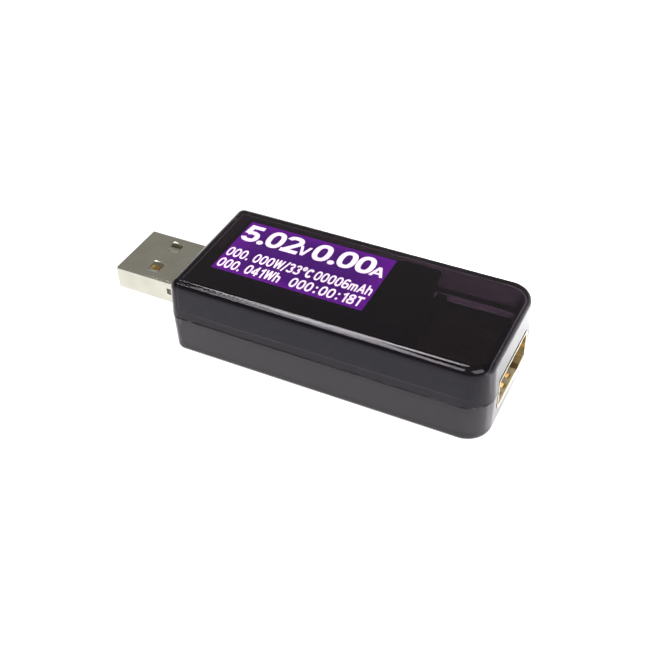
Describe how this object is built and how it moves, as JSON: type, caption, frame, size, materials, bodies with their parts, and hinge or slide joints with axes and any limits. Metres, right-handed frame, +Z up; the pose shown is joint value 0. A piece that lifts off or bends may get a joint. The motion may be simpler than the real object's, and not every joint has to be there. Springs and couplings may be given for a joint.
{
  "type": "usb power meter",
  "caption": "In-line USB power meter: slim translucent case, USB-A plug at one end, USB-A socket at the other, lit display under the lid and a side reset button.",
  "frame": {"origin": "middle of the overall box in plan, at the level of the case's flat underside", "axes": "+X from the plug to the socket along the case; +Z up, out of the display side; +Y to the long side with the reset button"},
  "size_m": [0.0698, 0.0244, 0.0143],
  "materials": {
    "smoky_plastic": "glossy, translucent smoke with a purple tint",
    "button_plastic": "satin",
    "nickel": "satin nickel plate",
    "gold": "gold flash",
    "white_plastic": "satin",
    "black_plastic": "matte",
    "clear_acrylic": "clear",
    "display_glass": "polished",
    "polariser": "gloss, lit violet",
    "laminate": "green solder mask",
    "chip_epoxy": "matte",
    "ceramic": "matte",
    "flex_film": "satin",
    "foam": "matte"
  },
  "bodies": {
    "housing": {"backlight_led_1": "white_plastic", "backlight_led_2": "white_plastic", "bottom_cover": "smoky_plastic", "capacitor_1": "ceramic", "capacitor_2": "ceramic", "capacitor_3": "ceramic", "current_amplifier": "chip_epoxy", "diffuser_sheet": "white_plastic", "display_driver": "chip_epoxy", "display_flex": "flex_film", "display_foam_1": "foam", "display_foam_2": "foam", "display_frame": "black_plastic", "display_mask": "black_plastic", "front_glass": "display_glass", "front_polariser": "polariser", "light_guide": "clear_acrylic", "main_board": "laminate", "microcontroller": "chip_epoxy", "plug_contact_1": "gold", "plug_contact_2": "gold", "plug_contact_3": "gold", "plug_contact_4": "gold", "plug_insulator": "white_plastic", "plug_shell": "nickel", "rear_glass": "display_glass", "rear_polariser": "polariser", "regulator": "chip_epoxy", "resistor_1": "chip_epoxy", "resistor_2": "chip_epoxy", "resistor_3": "chip_epoxy", "resistor_4": "chip_epoxy", "shunt_resistor": "chip_epoxy", "socket_contact_1": "gold", "socket_contact_2": "gold", "socket_contact_3": "gold", "socket_contact_4": "gold", "socket_insulator": "white_plastic", "socket_shell": "nickel", "supply_capacitor": "ceramic", "switch_base": "black_plastic", "switch_cover": "nickel", "switch_dome": "nickel", "thermistor": "chip_epoxy", "top_cover": "smoky_plastic"},
    "button": {"reset_button": "button_plastic"},
    "plunger": {"switch_plunger": "white_plastic"}
  },
  "joints": [
    {"name": "reset_button_press", "type": "slide", "parent": "housing", "child": "button", "axis": [0, -1, 0], "range_m": [0, 0.0003], "stiffness_N_per_m": 5000},
    {"name": "switch_plunger_press", "type": "slide", "parent": "housing", "child": "plunger", "axis": [0, -1, 0], "range_m": [0, 0.0003], "deforming": ["switch_dome"]}
  ],
  "couplings": [
    {"joint": "switch_plunger_press", "follows": "reset_button_press", "ratio": 1}
  ]
}
